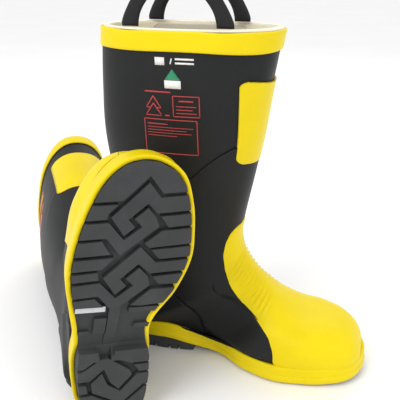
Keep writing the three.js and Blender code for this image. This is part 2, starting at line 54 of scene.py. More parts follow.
def randLow(x):
    share = np.asarray(x, float) / foot["length"]
    fall = ramp((share - 0.165) / 0.27)
    spring = np.clip((share - 0.76) / 0.24, 0, None)
    return sole["heelRise"] + (sole["ballRise"] - sole["heelRise"]) * fall + sole["toeSpring"] * spring ** 2


def randHigh(x):
    return randLow(x) + sole["randHeight"]


# Sole outline as shares of length and width, heel first, inner side first
soleShape = np.array([
    (0.005, 0.01), (0.016, -0.277), (0.11, -0.322), (0.25, -0.295), (0.406, -0.223), (0.54, -0.411),
    (0.662, -0.5), (0.763, -0.478), (0.868, -0.42), (0.956, -0.312), (1, -0.08), (0.987, 0.143),
    (0.93, 0.308), (0.829, 0.425), (0.714, 0.492), (0.595, 0.51), (0.464, 0.447), (0.335, 0.376),
    (0.234, 0.366), (0.115, 0.321), (0.021, 0.241)]) * (foot["length"], foot["width"])


def closedCurve(points, perSpan):
    made = []
    for i in range(len(points)):
        p0, p1, p2, p3 = (points[(i + k) % len(points)] for k in (-1, 0, 1, 2))
        d0, d1, d2 = (math.sqrt(np.linalg.norm(b - a)) for a, b in ((p0, p1), (p1, p2), (p2, p3)))
        start = ((p1 - p0) / d0 - (p2 - p0) / (d0 + d1) + (p2 - p1) / d1) * d1
        end = ((p2 - p1) / d1 - (p3 - p1) / (d1 + d2) + (p3 - p2) / d2) * d1
        for u in np.arange(perSpan) / perSpan:
            made.append(p1 * (2 * u ** 3 - 3 * u ** 2 + 1) + start * (u ** 3 - 2 * u ** 2 + u)
                        + p2 * (3 * u ** 2 - 2 * u ** 3) + end * (u ** 3 - u ** 2))
    return np.array(made)


soleCurve = closedCurve(soleShape, 12)
soleRun = np.concatenate([[0], np.cumsum(np.linalg.norm(np.roll(soleCurve, -1, axis=0) - soleCurve, axis=1))])
soleRing = np.vstack([soleCurve, soleCurve[:1]])


def outlineAt(share, grow):
    spot = (np.asarray(share, float) % 1.0) * soleRun[-1]

    def at(place):
        place = place % soleRun[-1]
        return np.stack([np.interp(place, soleRun, soleRing[:, k]) for k in (0, 1)], axis=1)

    along = at(spot + 2.5) - at(spot - 2.5)
    along /= np.linalg.norm(along, axis=1)[:, None]
    return at(spot) + np.stack([along[:, 1], -along[:, 0]], axis=1) * np.reshape(grow, (-1, 1))


halfTables = {}
for way in (-1, 1):
    edge = soleCurve[soleCurve[:, 1] * way > 0]
    edge = edge[np.argsort(edge[:, 0])]
    halfTables[way] = (np.concatenate([[0], edge[:, 0], [foot["length"]]]),
                       np.concatenate([[0], edge[:, 1] * way, [0]]))


def halfWidth(x, way):
    return np.where(np.asarray(way) > 0, np.interp(x, *halfTables[1]), np.interp(x, *halfTables[-1]))


# Rings of the boot: front x and z, back x and z, half width inner and outer, shift across,
# fullness front and back, share of the toe guard's rise
def legRing(share, front, back, width, full):
    z = leg["ankle"] + share * (leg["rim"] - leg["ankle"])
    return (front, z, back, z, width / 2, width / 2, -leg["lean"] * share, full, full, 0)


def ankleRing(front, back, width, full):
    return (*front, *back, width / 2, width / 2, 0, 2.2, full, 0)


def footRing(frontShare, height, backShare, full, shrink=0):
    x = backShare * foot["length"]
    middle = (backShare * 0.6 + frontShare * 0.4) * foot["length"]
    low = float(randLow(x)) + sole["band"] + shrink
    inner, outer = (float(halfWidth(middle, way)) - 1 - shrink * 0.6 for way in (-1, 1))
    return (frontShare * foot["length"], height, x, low, inner, outer, 0, full, 5,
            float(ramp((frontShare - 0.74) / 0.07)))


waistRing = footRing(0.553, 109, 0.12, 2.2)
archRing = footRing(0.588, 98.5, 0.25, 2.2)
rings = np.array([
    legRing(1, 182, -8, leg["width"], 2.3),
    legRing(0.7, 170, -15, leg["calf"] - 1, 2.3),
    legRing(0.5, 163, -18, leg["calf"], 2.3),
    legRing(0.28, 153, -15, leg["calf"] - 5, 2.3),
    legRing(0, 140, -6, leg["ankleWidth"] + 3, 2.3),
    ankleRing((138, 162), (-2, 148), leg["ankleWidth"], 2.4),
    ankleRing((142, 138), (1, 90), leg["ankleWidth"] - 2, 3),
    ankleRing((147, 128), (0.5, 62), leg["ankleWidth"] - 1, 3.6),
    ankleRing((153, 119), (2.5, 32.3), leg["ankleWidth"] + 2, 5),
    (*waistRing[:4], waistRing[4] + 4.5, *waistRing[5:]),
    (*archRing[:4], archRing[4] + 3, *archRing[5:]),
    footRing(0.63, 87, 0.37, 2.2),
    footRing(0.68, 75, 0.49, 2.3),
    footRing(0.768, 63.5, 0.673, 2.5),
    footRing(0.82, 61.5, 0.763, 2.6),
    footRing(0.885, 59, 0.865, 2.6),
    footRing(0.947, 50, 0.943, 2.6),
    footRing(0.972, 40.5, 0.97, 2.6, 2),
    footRing(0.984, 32, 0.983, 2.4, 7),
], float)
gaps = 0.5 * (np.linalg.norm(np.diff(rings[:, 0:2], axis=0), axis=1)
              + np.linalg.norm(np.diff(rings[:, 2:4], axis=0), axis=1))
knots = np.concatenate([[0], np.cumsum(gaps)])
toeEnd = knots[-1]
footStart = knots[7]


def slopesOf(values):
    rise = np.diff(values, axis=0) / gaps[:, None]
    slopes = np.zeros_like(values)
    weightA = (2 * gaps[1:] + gaps[:-1])[:, None]
    weightB = (gaps[1:] + 2 * gaps[:-1])[:, None]
    same = rise[:-1] * rise[1:] > 0
    safe = [np.where(same, part, 1) for part in (rise[:-1], rise[1:])]
    slopes[1:-1] = np.where(same, (weightA + weightB) / (weightA / safe[0] + weightB / safe[1]), 0)
    slopes[0], slopes[-1] = rise[0], rise[-1]
    return slopes


ringSlopes = slopesOf(rings)


def section(t):
    t = np.clip(np.asarray(t, float), 0, toeEnd)
    i = np.clip(np.searchsorted(knots, t, side="right") - 1, 0, len(gaps) - 1)
    h = gaps[i][:, None]
    u = ((t - knots[i]) / gaps[i])[:, None]
    return ((2 * u ** 3 - 3 * u ** 2 + 1) * rings[i] + (u ** 3 - 2 * u ** 2 + u) * h * ringSlopes[i]
            + (3 * u ** 2 - 2 * u ** 3) * rings[i + 1] + (u ** 3 - u ** 2) * h * ringSlopes[i + 1])


def skinPoint(t, a):
    t, a = np.broadcast_arrays(np.asarray(t, float), np.asarray(a, float))
    ring = section(t)
    c, s = np.cos(a), np.sin(a)
    full = np.where(c > 0, ring[:, 7], ring[:, 8])
    reach = (np.abs(c) ** full + np.abs(s) ** full) ** (-1 / full)
    x = (ring[:, 0] + ring[:, 2]) / 2 + (ring[:, 0] - ring[:, 2]) / 2 * reach * c
    z = (ring[:, 1] + ring[:, 3]) / 2 + (ring[:, 1] - ring[:, 3]) / 2 * reach * c
    y = reach * s * np.where(s > 0, ring[:, 5], ring[:, 4])
    limit = np.maximum(2, halfWidth(np.minimum(x, foot["length"] * 0.985), s))
    hold = ramp((randHigh(x) + 8 - z) / 8) * (t > footStart)
    y = np.where(np.abs(y) > limit, y + (np.sign(s) * limit - y) * hold, y)
    return np.stack([x, y + ring[:, 6], z], axis=1)


def bootPoint(t, a, off):
    t, a = np.broadcast_arrays(np.asarray(t, float), np.asarray(a, float))
    t = t.ravel()
    a = a.ravel()
    point = skinPoint(t, a)
    alongT = skinPoint(np.minimum(t + 0.8, toeEnd), a) - skinPoint(np.maximum(t - 0.8, 0), a)
    alongA = skinPoint(t, a + 0.02) - skinPoint(t, a - 0.02)
    normal = np.cross(alongA, alongT)
    normal /= np.maximum(np.linalg.norm(normal, axis=1), 1e-9)[:, None]
    ring = section(t)
    centre = np.stack([(ring[:, 0] + ring[:, 2]) / 2, ring[:, 6], (ring[:, 1] + ring[:, 3]) / 2], axis=1)
    normal *= np.sign(np.sum(normal * (point - centre), axis=1))[:, None]
    return point + normal * np.reshape(off, (-1, 1))


tTable = np.linspace(0, toeEnd, 1500)
frontTable = section(tTable)[:, 0:2]
frontRun = np.concatenate([[0], np.cumsum(np.linalg.norm(np.diff(frontTable, axis=0), axis=1))])
legTable = section(tTable[tTable <= knots[4]])[:, 1]


def tAtHeight(z):
    return np.interp(-np.asarray(z, float), -legTable, tTable[:len(legTable)])


# Angle on a leg ring for a place across (front half) or along (one side)
def angleAcross(z, y):
    angles = np.linspace(-math.pi / 2, math.pi / 2, 181)
    made = []
    for height, place in zip(np.ravel(z), np.ravel(y)):
        made.append(np.interp(place, skinPoint(tAtHeight(height), angles)[:, 1], angles))
    return np.array(made)


def angleAlong(z, x, way):
    angles = np.linspace(0.02, math.pi - 0.02, 181)
    made = []
    for height, place in zip(np.ravel(z), np.ravel(x)):
        row = skinPoint(tAtHeight(height), angles * way)[:, 0]
        made.append(np.interp(-place, -row, angles) * way)
    return np.array(made)


toeUp = Matrix(((0, 1, 0), (0, 0, 1), (1, 0, 0)))
turned = (Matrix.Rotation(math.radians(lying["turn"]), 3, "Z")
          @ Matrix.Rotation(math.radians(lying["roll"]), 3, "Y")
          @ Matrix.Rotation(math.radians(lying["tilt"]), 3, "X") @ toeUp)
places = {
    "left": (np.eye(3), np.array([0.0, 0.0, 0.0])),
    "right": (np.array(turned) @ np.diag([1, -1, 1]), np.array([lying["x"], lying["y"], lying["lift"]])),
}


def placed(points, side):
    turn, move = places[side]
    return ((np.asarray(points) @ turn.T + move) - (foot["originX"], foot["originY"], 0)) * 0.001


# Materials
def newMaterial(name):
    material = bpy.data.materials.new(name)
    material.use_nodes = True
    tree = material.node_tree
    return material, tree, tree.nodes["Principled BSDF"]


def addNode(tree, kind, settings=(), links=()):
    node = tree.nodes.new(kind)
    for key, value in dict(settings).items():
        if hasattr(node, key):
            setattr(node, key, value)
        else:
            node.inputs[key].default_value = value
    for key, source in dict(links).items():
        tree.links.new(source, node.inputs[key])
    return node


def noiseOn(tree, coords, scale, detail=4, roughness=0.55, distortion=0.0):
    return addNode(tree, "ShaderNodeTexNoise", {"Scale": scale, "Detail": detail, "Roughness": roughness,
                                                "Distortion": distortion}, {"Vector": coords}).outputs["Fac"]


def rampOn(tree, source, stops):
    node = addNode(tree, "ShaderNodeValToRGB", links={"Fac": source})
    marks = node.color_ramp.elements
    while len(marks) < len(stops):
        marks.new(0.5)
    for mark, (place, colour) in zip(marks, stops):
        mark.position = place
        mark.color = (*colour, 1) if len(colour) == 3 else colour
    return node.outputs["Color"]


def mixOn(tree, factor, first, second, blend="MIX"):
    node = addNode(tree, "ShaderNodeMix", {"data_type": "RGBA", "blend_type": blend})
    for socket, value in (("Factor", factor), ("A", first), ("B", second)):
        target = [s for s in node.inputs if s.name == socket and s.type in ("RGBA", "VALUE")]
        target = [s for s in target if s.type == ("VALUE" if socket == "Factor" else "RGBA")][0]
        if isinstance(value, (int, float)):
            target.default_value = value
        elif isinstance(value, tuple):
            target.default_value = (*value, 1)
        else:
            tree.links.new(value, target)
    return [s for s in node.outputs if s.type == "RGBA"][0]


def rangeOn(tree, source, low, high, fromLow=0.0, fromHigh=1.0):
    return addNode(tree, "ShaderNodeMapRange", {"From Min": fromLow, "From Max": fromHigh, "To Min": low,
                                                "To Max": high}, {"Value": source}).outputs["Result"]


def bumpOn(tree, height, strength, distance, under=None):
    links = {"Height": height}
    if under is not None:
        links["Normal"] = under
    node = addNode(tree, "ShaderNodeBump", {"Strength": strength, "Distance": distance}, links)
    return node.outputs["Normal"]


def objectCoords(tree):
    return addNode(tree, "ShaderNodeTexCoord").outputs["Object"]


def rubber(name, look):
    material, tree, shader = newMaterial(name)
    coords = objectCoords(tree)
    cloud = noiseOn(tree, coords, look["cloudScale"], 5, 0.6)
    speck = noiseOn(tree, coords, look["speckScale"], 3, 0.7)
    scuff = noiseOn(tree, coords, look["scuffScale"], 6, 0.75, 1.2)
    base = rampOn(tree, cloud, [(0.3, look["dark"]), (0.7, look["light"])])
    dusty = rampOn(tree, speck, [(look["dustFrom"], (0, 0, 0)), (look["dustFrom"] + 0.18, (1, 1, 1))])
    worn = rampOn(tree, scuff, [(look["scuffFrom"], (0, 0, 0)), (look["scuffFrom"] + 0.1, (1, 1, 1))])
    dustAmount = rangeOn(tree, dusty, 0.0, look["dust"])
    wornAmount = rangeOn(tree, worn, 0.0, look["scuff"])
    colour = mixOn(tree, dustAmount, base, look["dustColour"])
    colour = mixOn(tree, wornAmount, colour, look["scuffColour"])
    tree.links.new(colour, shader.inputs["Base Color"])
    rough = rangeOn(tree, cloud, look["roughLow"], look["roughHigh"], 0.3, 0.7)
    tree.links.new(rough, shader.inputs["Roughness"])
    grain = noiseOn(tree, coords, look["grainScale"], 2, 0.5)
    swell = noiseOn(tree, coords, look["swellScale"], 3, 0.5)
    normal = bumpOn(tree, swell, look["swell"], 0.002)
    normal = bumpOn(tree, grain, look["grain"], 0.0002, normal)
    tree.links.new(normal, shader.inputs["Normal"])
    shader.inputs["Specular IOR Level"].default_value = look["specular"]
    shader.inputs["Coat Weight"].default_value = look["coat"]
    shader.inputs["Coat Roughness"].default_value = 0.25
    return material


blackLook = {"dark": (0.009, 0.0095, 0.01), "light": (0.015, 0.0155, 0.0165), "cloudScale": 9,
             "speckScale": 260, "dustFrom": 0.6, "dust": 0.16, "dustColour": (0.06, 0.06, 0.058),
             "scuffScale": 14, "scuffFrom": 0.66, "scuff": 0.14, "scuffColour": (0.05, 0.05, 0.048),
             "roughLow": 0.42, "roughHigh": 0.54, "grainScale": 900, "grain": 0.35, "swellScale": 12,
             "swell": 0.12, "specular": 0.18, "coat": 0.0}
yellowLook = {"dark": (0.72, 0.55, 0.002), "light": (0.8, 0.63, 0.003), "cloudScale": 11,
              "speckScale": 180, "dustFrom": 0.66, "dust": 0.12, "dustColour": (0.5, 0.36, 0.02),
              "scuffScale": 16, "scuffFrom": 0.68, "scuff": 0.16, "scuffColour": (0.48, 0.35, 0.04),
              "roughLow": 0.34, "roughHigh": 0.46, "grainScale": 700, "grain": 0.22, "swellScale": 14,
              "swell": 0.12, "specular": 0.16, "coat": 0.03}
soleLook = {"dark": (0.034, 0.035, 0.036), "light": (0.054, 0.055, 0.057), "cloudScale": 22,
            "speckScale": 420, "dustFrom": 0.55, "dust": 0.2, "dustColour": (0.085, 0.084, 0.082),
            "scuffScale": 30, "scuffFrom": 0.6, "scuff": 0.22, "scuffColour": (0.1, 0.098, 0.095),
            "roughLow": 0.6, "roughHigh": 0.8, "grainScale": 1200, "grain": 0.5, "swellScale": 30,
            "swell": 0.1, "specular": 0.25, "coat": 0.0}
gripLook = dict(blackLook, dark=(0.012, 0.012, 0.013), light=(0.02, 0.02, 0.022), roughLow=0.46,
                roughHigh=0.6, swell=0.08, scuff=0.1)
materials = {
    "blackRubber": rubber("blackRubber", blackLook),
    "yellowRubber": rubber("yellowRubber", yellowLook),
    "soleRubber": rubber("soleRubber", soleLook),
    "handleRubber": rubber("handleRubber", gripLook),
}


def felt(name, look):
    material, tree, shader = newMaterial(name)
    coords = objectCoords(tree)
    cloud = noiseOn(tree, coords, 18, 4, 0.6)
    fibre = noiseOn(tree, coords, look["fibreScale"], 6, 0.8, 2.5)
    base = rampOn(tree, cloud, [(0.3, look["dark"]), (0.7, look["light"])])
    tree.links.new(mixOn(tree, rangeOn(tree, fibre, 0.0, 0.35, 0.45, 0.65), base, look["shade"]),
                   shader.inputs["Base Color"])
    tree.links.new(bumpOn(tree, fibre, 0.6, 0.0008), shader.inputs["Normal"])
    shader.inputs["Roughness"].default_value = 0.95
    shader.inputs["Sheen Weight"].default_value = 0.35
    shader.inputs["Specular IOR Level"].default_value = 0.15
    return material


materials["feltCream"] = felt("feltCream", {"dark": (0.8, 0.74, 0.58), "light": (0.92, 0.87, 0.71),
                                            "shade": (0.66, 0.59, 0.44), "fibreScale": 420})
materials["feltPatch"] = felt("feltPatch", {"dark": (0.6, 0.56, 0.46), "light": (0.68, 0.64, 0.54),
                                            "shade": (0.42, 0.38, 0.3), "fibreScale": 520})
materials["footbedFoam"] = felt("footbedFoam", {"dark": (0.1, 0.105, 0.115), "light": (0.15, 0.155, 0.165),
                                                "shade": (0.06, 0.06, 0.07), "fibreScale": 600})


def steel(name):
    material, tree, shader = newMaterial(name)
    coords = objectCoords(tree)
    cloud = noiseOn(tree, coords, 30, 5, 0.6)
    drawn = addNode(tree, "ShaderNodeMapping", {"Scale": (1, 14, 1)}, {"Vector": coords}).outputs[0]
    line = noiseOn(tree, drawn, 90)
    tree.links.new(rampOn(tree, cloud, [(0.35, (0.42, 0.43, 0.44)), (0.7, (0.56, 0.57, 0.58))]),
                   shader.inputs["Base Color"])
    tree.links.new(rangeOn(tree, line, 0.3, 0.5), shader.inputs["Roughness"])
    tree.links.new(bumpOn(tree, line, 0.15, 0.0003), shader.inputs["Normal"])
    shader.inputs["Metallic"].default_value = 1.0
    return material


def fibreBoard(name):
    material, tree, shader = newMaterial(name)
    coords = objectCoords(tree)
    chip = noiseOn(tree, coords, 260, 6, 0.8)
    tree.links.new(rampOn(tree, chip, [(0.35, (0.24, 0.17, 0.1)), (0.65, (0.4, 0.3, 0.19))]),
                   shader.inputs["Base Color"])
    tree.links.new(bumpOn(tree, chip, 0.3, 0.0004), shader.inputs["Normal"])
    shader.inputs["Roughness"].default_value = 0.85
    return material


def printInk(name, colour, worn):
    material, tree, shader = newMaterial(name)
    coords = objectCoords(tree)
    gapNoise = noiseOn(tree, coords, 700, 3, 0.7)
    tree.links.new(mixOn(tree, rangeOn(tree, gapNoise, 0.0, worn, 0.5, 0.7), colour, (0.03, 0.03, 0.032)),
                   shader.inputs["Base Color"])
    tree.links.new(bumpOn(tree, gapNoise, 0.2, 0.0001), shader.inputs["Normal"])
    shader.inputs["Roughness"].default_value = 0.5
    return material


materials["bareSteel"] = steel("bareSteel")
materials["fibreBoard"] = fibreBoard("fibreBoard")
materials["inkRed"] = printInk("inkRed", (0.42, 0.03, 0.035), 0.45)
materials["inkWhite"] = printInk("inkWhite", (0.78, 0.78, 0.77), 0.2)
materials["inkGreen"] = printInk("inkGreen", (0.02, 0.26, 0.13), 0.25)
materials["inkOrange"] = printInk("inkOrange", (0.7, 0.16, 0.02), 0.3)
materials["inkYellow"] = printInk("inkYellow", (0.75, 0.55, 0.02), 0.3)
materials["stripGrey"] = printInk("stripGrey", (0.52, 0.53, 0.54), 0.15)
print("materials made:", len(materials))


# Mesh helpers
def setPoints(verts, points):
    for vert, point in zip(verts, points):
        vert.co = point


def gridOf(bm, rows, columns):
    made = bmesh.ops.create_grid(bm, x_segments=columns, y_segments=rows, size=1)["verts"]
    places = np.array([v.co[:2] for v in made])
    return made, places[:, 0], (places[:, 1] + 1) / 2


def addPiece(name, side, bm, material, nodes=(), body=None, millimetres=True):
    if millimetres:
        points = placed([v.co[:] for v in bm.verts], side)
        setPoints(bm.verts, points)
    bmesh.ops.recalc_face_normals(bm, faces=bm.faces)
    mesh = bpy.data.meshes.new(name)
    bm.to_mesh(mesh)
    bm.free()
    mesh.shade_smooth()
    mesh.materials.append(materials[material])
    piece = bpy.data.objects.new(name, mesh)
    bpy.context.scene.collection.objects.link(piece)
    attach(piece, body or side + "_boot")
    if nodes:
        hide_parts(*nodes)
    return piece


# A wall over part of the boot: outer and inner are functions of the grid place, the rim is rounded
def shell(rows, columns, outer, inner, rim=0.5, segments=2):
    bm = bmesh.new()
    skins = []
    for shape in (outer, inner):
        verts, across, down = gridOf(bm, rows, columns)
        setPoints(verts, shape(across, down))
        skins.append(set(verts))
    border = [e for e in bm.edges if e.is_boundary]
    rimEdges = [e for e in border if e.verts[0] in skins[0]]
    bmesh.ops.bridge_loops(bm, edges=border)
    if rim:
        bmesh.ops.bevel(bm, geom=rimEdges, offset=rim, offset_type="OFFSET", segments=segments, profile=0.5,
                        affect="EDGES", clamp_overlap=True, material=-1)
    return bm


# A closed tube round the boot, one row for each station, which is by default distance along and offset
def tube(stations, columns, shape=bootPoint):
    bm = bmesh.new()
    verts, across, down = gridOf(bm, len(stations) - 1, columns)
    rows = np.rint(down * (len(stations) - 1)).astype(int)
    table = np.array(stations, float)
    setPoints(verts, shape(table[rows, 0], across * math.pi, table[rows, 1]))
    bmesh.ops.remove_doubles(bm, verts=bm.verts, dist=0.002)
    border = [e for e in bm.edges if e.is_boundary]
    if border:
        bmesh.ops.holes_fill(bm, edges=border, sides=0)
    return bm


# Leg and lining
upperLook = {"wall": 3.0, "top": 395.6, "columns": 132, "step": 3.4}
liningLook = {"outer": -3.3, "inner": -6.9, "columns": 120}
# Edge of the lining folded over the top of the leg: height and offset, outside first
liningLip = [(395.9, -3.2), (395.95, -0.3), (396.8, -0.1), (397.8, -0.4), (398.3, -1.4),
             (398.3, -5.4), (397.9, -6.5), (397.2, -6.9)]


def makeUpper(side):
    top = tAtHeight(upperLook["top"])
    out = [(t, 0) for t in np.linspace(top, toeEnd, int((toeEnd - top) / upperLook["step"]))]
    back = [(t, -upperLook["wall"]) for t in np.linspace(toeEnd - 4, top, 60)]
    addPiece(side + "_upper", side, tube(back + out, upperLook["columns"]), "blackRubber",
             [side + "_upper"])


def makeLining(side):
    top = float(tAtHeight(liningLip[0][0]))
    lip = [(float(tAtHeight(z)), off) for z, off in liningLip]
    inside = [(t, liningLook["inner"]) for t in np.linspace(top + 1.4, toeEnd - 10, 110)]
    outside = [(t, liningLook["outer"]) for t in np.linspace(toeEnd - 7, top + 1, 40)]
    addPiece(side + "_lining", side, tube(outside + lip + inside, liningLook["columns"]), "feltCream",
             [side + "_lining"])


for side in ("left", "right"):
    makeUpper(side)
    makeLining(side)
print("legs and linings made")

# Overlays whose borders run along the boot
# Each seam is a list of places in side view: x and z, and for the instep guard z and x
seams = {
    "ankle": ((-60, 194), (20, 204), (60, 221), (97, 244), (111, 259), (125, 270), (141, 280), (200, 296)),
    "heel": ((-60, 128), (-2, 124), (20, 118), (40, 107), (58, 95), (74, 84), (84, 75), (92, 62), (98, 48),
             (104, 33), (112, 2)),
    "vamp": ((181, 145), (177, 138), (170, 131), (157, 126), (142, 124), (123, 127), (100, 136), (86, 143),
             (75, 152), (67, 165), (60, 177), (53, 186), (41, 192), (33, 193), (2, 193)),
}


def seamAt(name, place):
    marks = np.array(seams[name], float)
    marks = marks[np.argsort(marks[:, 0])]
    fine = np.linspace(marks[0, 0], marks[-1, 0], 400)
    line = np.interp(fine, marks[:, 0], marks[:, 1])
    soft = np.convolve(np.pad(line, 6, mode="edge"), np.ones(13) / 13, mode="valid")
    return np.interp(place, fine, soft)


def firstWhere(test, table):
    found = np.argmax(test, axis=1)
    return np.where(test.any(axis=1), table[found], np.nan)


def columnTable(angles):
    flatT = np.tile(tTable, len(angles))
    flatA = np.repeat(angles, len(tTable))
    points = skinPoint(flatT, flatA).reshape(len(angles), len(tTable), 3)
    return points[:, :, 0], points[:, :, 2]


overlayLook = {
    "ankle_overlay": {"outer": 1.7, "columns": 132, "rows": 70, "under": 3.0},
    "heel_overlay": {"outer": 3.5, "columns": 110, "rows": 46},
}


def makeAnkleOverlay(side):
    look = overlayLook["ankle_overlay"]
    angles = np.linspace(-math.pi, math.pi, look["columns"] + 1)
    x, z = columnTable(angles)
    top = firstWhere(z < seamAt("ankle", x), tTable)
    low = firstWhere((z < randHigh(x) + 0.4) | ((z < 170) & (x > seamAt("vamp", z) + look["under"])), tTable)
    bm = bmesh.new()
    skins, tops = [], []
    for off in (look["outer"], 0.05):
        verts, across, down = gridOf(bm, look["rows"], look["columns"])
        column = np.rint((across + 1) / 2 * look["columns"]).astype(int)
        t = top[column] + (low[column] - top[column]) * down
        points = skinPoint(t, angles[column])
        tucked = ramp((points[:, 0] - seamAt("vamp", points[:, 2]) + 1) / 3) * (points[:, 2] < 176)
        setPoints(verts, bootPoint(t, angles[column], off * (1 - 0.7 * tucked)))
        skins.append(verts)
        tops += [v for v, d in zip(verts, down) if d < 0.001]
    bmesh.ops.remove_doubles(bm, verts=bm.verts, dist=0.01)
    outer = {v for v in skins[0] if v.is_valid}
    upper = {v for v in tops if v.is_valid}
    border = [e for e in bm.edges if e.is_boundary]
    topEdges = [e for e in border if e.verts[0] in upper and e.verts[1] in upper]
    lowEdges = [e for e in border if e.verts[0] not in upper or e.verts[1] not in upper]
    rim = [e for e in topEdges if e.verts[0] in outer]
    for loop in (topEdges, lowEdges):
        bmesh.ops.bridge_loops(bm, edges=loop)
    bmesh.ops.bevel(bm, geom=rim, offset=0.5, offset_type="OFFSET", segments=2, profile=0.5, affect="EDGES",
                    clamp_overlap=True, material=-1)
    addPiece(side + "_ankle_overlay", side, bm, "blackRubber", [side + "_ankle_overlay"])


def makeHeelOverlay(side):
    look = overlayLook["heel_overlay"]
    angles = np.linspace(0.2, math.pi, 400)
    x, z = columnTable(angles)
    seam = np.array(seams["heel"], float)[::-1]
    inside = (x < np.interp(z, seam[:, 1], seam[:, 0])) & (z > randHigh(x) + 0.4)
    top = firstWhere(inside, tTable)
    low = tTable[len(tTable) - 1 - np.argmax(inside[:, ::-1], axis=1)]
    good = np.nonzero(low > np.nan_to_num(top, nan=1e9) + 0.6)[0]
    start = angles[good[0]]

    def place(off):
        def shape(across, down):
            angle = math.pi + across * (math.pi - start)
            folded = np.where(angle > math.pi, 2 * math.pi - angle, angle)
            high = np.interp(folded, angles[good], top[good])
            deep = np.interp(folded, angles[good], low[good])
            return bootPoint(high + (deep - high) * down, angle, off)
        return shape

    bm = shell(look["rows"], look["columns"], place(look["outer"]), place(0.1), 0.6)
    addPiece(side + "_heel_overlay", side, bm, "blackRubber", [side + "_heel_overlay"])


for side in ("left", "right"):
    makeAnkleOverlay(side)
    makeHeelOverlay(side)
print("overlays made")

# Instep and toe guard
vampLook = {"rows": 250, "columns": 84, "outer": 2.4, "toeRise": 2.1, "ribPitch": 6.0, "ribHeight": 2.0,
            "ribFrom": 34.0, "ribTo": 112.0, "ribSide": 0.95, "ribSlope": 14.0, "tuck": 4}


def makeVamp(side):
    look = vampLook
    startT = float(np.interp(-180.5, -frontTable[:, 1], tTable))
    startRun = float(np.interp(startT, tTable, frontRun))
    ease = np.linspace(0, 1, look["rows"] + 1)
    runs = startRun + (frontRun[-1] - startRun) * ease
    rowT = np.interp(runs, frontRun, tTable)
    angles = np.linspace(0.02, math.pi, 500)
    limits = []
    for t in rowT:
        x, _, z = skinPoint(np.full(len(angles), t), angles).T
        outside = (x < seamAt("vamp", z)) | (z < randHigh(x) + 0.4)
        limits.append(angles[max(1, int(np.argmax(outside)))] if outside.any() else math.pi)
    limits = np.array(limits)
    soft = np.convolve(np.pad(limits, 2, mode="edge"), np.ones(5) / 5, mode="valid")
    limits = np.minimum(soft, math.pi * 0.985)
    run = runs - startRun

    def place(off, ribbed):
        def shape(across, down):
            row = np.rint(down * look["rows"]).astype(int)
            angle = across * limits[row]
            rise = section(rowT[row])[:, 9] * look["toeRise"]
            total = off + rise
            if ribbed:
                along = run[row] - look["ribSlope"] * np.abs(across)
                wave = 0.5 - 0.5 * np.cos(2 * math.pi * (along - look["ribFrom"]) / look["ribPitch"])
                inside = ramp((along - look["ribFrom"]) / 8) * ramp((look["ribTo"] - along) / 14)
                flank = ramp((look["ribSide"] - np.abs(across)) / 0.3)
                flank = flank * (0.35 + 0.65 * ramp(np.abs(across) / 0.35))  # lower along the front line
                total = total + look["ribHeight"] * (wave ** 0.7 - 0.35) * inside * flank
            points = bootPoint(rowT[row], angle, total)
            tuck = look["tuck"] * ramp((down - 0.975) / 0.025)  # the toe edge reaches down to the rand
            floor = np.minimum(points[:, 2], randHigh(points[:, 0]) + 0.3)
            points[:, 2] = np.maximum(points[:, 2] - tuck, floor)
            return points
        return shape

    bm = shell(look["rows"], look["columns"], place(look["outer"], True), place(0.2, False), 0.7)
    addPiece(side + "_vamp", side, bm, "yellowRubber", [side + "_vamp"])


for side in ("left", "right"):
    makeVamp(side)
print("instep guards made")

# Patches on the leg
legLook = {
    "shin_guard": {"width": 74, "height": 88, "base": 262, "corner": 7, "outer": 2.4, "taper": 0.12,
                   "droop": 4.5},
    "backstay": {"width": 18, "low": 215, "high": 373.5, "outer": 1.7},
    "anchor": {"from": 24.0, "to": 142.0, "low": 362.0, "high": 397.0, "outer": -3.4, "inner": -5.2},
    "patch": {"from": 26.0, "to": 140.0, "low": 361.5, "high": 394.6, "outer": -6.95, "inner": -8.4},
}


def roundedAcross(across, down, width, height, corner):
    z = (0.5 - down) * height
    deep = np.clip(np.abs(z) - (height / 2 - corner), 0, corner)
    return across * (width / 2 - corner + np.sqrt(np.maximum(corner ** 2 - deep ** 2, 0.3))), z


def eased(down):
    return 0.5 - 0.5 * np.cos(math.pi * down)


def makeShinGuard(side):
    look = legLook["shin_guard"]

    def place(off):
        def shape(across, down):
            y, z = roundedAcross(across, eased(down), look["width"], look["height"], look["corner"])
            y = y * (1 + look["taper"] * z / look["height"])
            z = z + look["base"] + look["height"] / 2 - look["droop"] * (1 - (2 * y / look["width"]) ** 2)
            lean = leg["lean"] * (z - leg["ankle"]) / (leg["rim"] - leg["ankle"])
            return bootPoint(tAtHeight(z), angleAcross(z, y - lean), off)
        return shape

    bm = shell(36, 30, place(look["outer"]), place(0.2), 0.8, 3)
    addPiece(side + "_shin_guard", side, bm, "yellowRubber", [side + "_shin_guard"])


def makeBackstay(side):
    look = legLook["backstay"]

    def place(off):
        def shape(across, down):
            z = look["high"] + (look["low"] - look["high"]) * down
            ring = section(tAtHeight(z))
            angle = math.pi + across * look["width"] / (ring[:, 4] + ring[:, 5]) * 0.98
            return bootPoint(tAtHeight(z), angle, off)
        return shape

    bm = shell(60, 8, place(look["outer"]), place(0.2), 0.5)
    addPiece(side + "_backstay", side, bm, "blackRubber", [side + "_backstay"])


def sidePatch(look, way, corner, rows=14, columns=40):
    width, height = look["to"] - look["from"], look["high"] - look["low"]
    middle = (look["to"] + look["from"]) / 2

    def place(off):
        def shape(across, down):
            x, z = roundedAcross(across, eased(down), width, height, corner)
            z = z + look["low"] + height / 2
            return bootPoint(tAtHeight(z), angleAlong(z, x + middle, way), off)
        return shape

    return shell(rows, columns, place(look["inner"]), place(look["outer"]), 0.3)


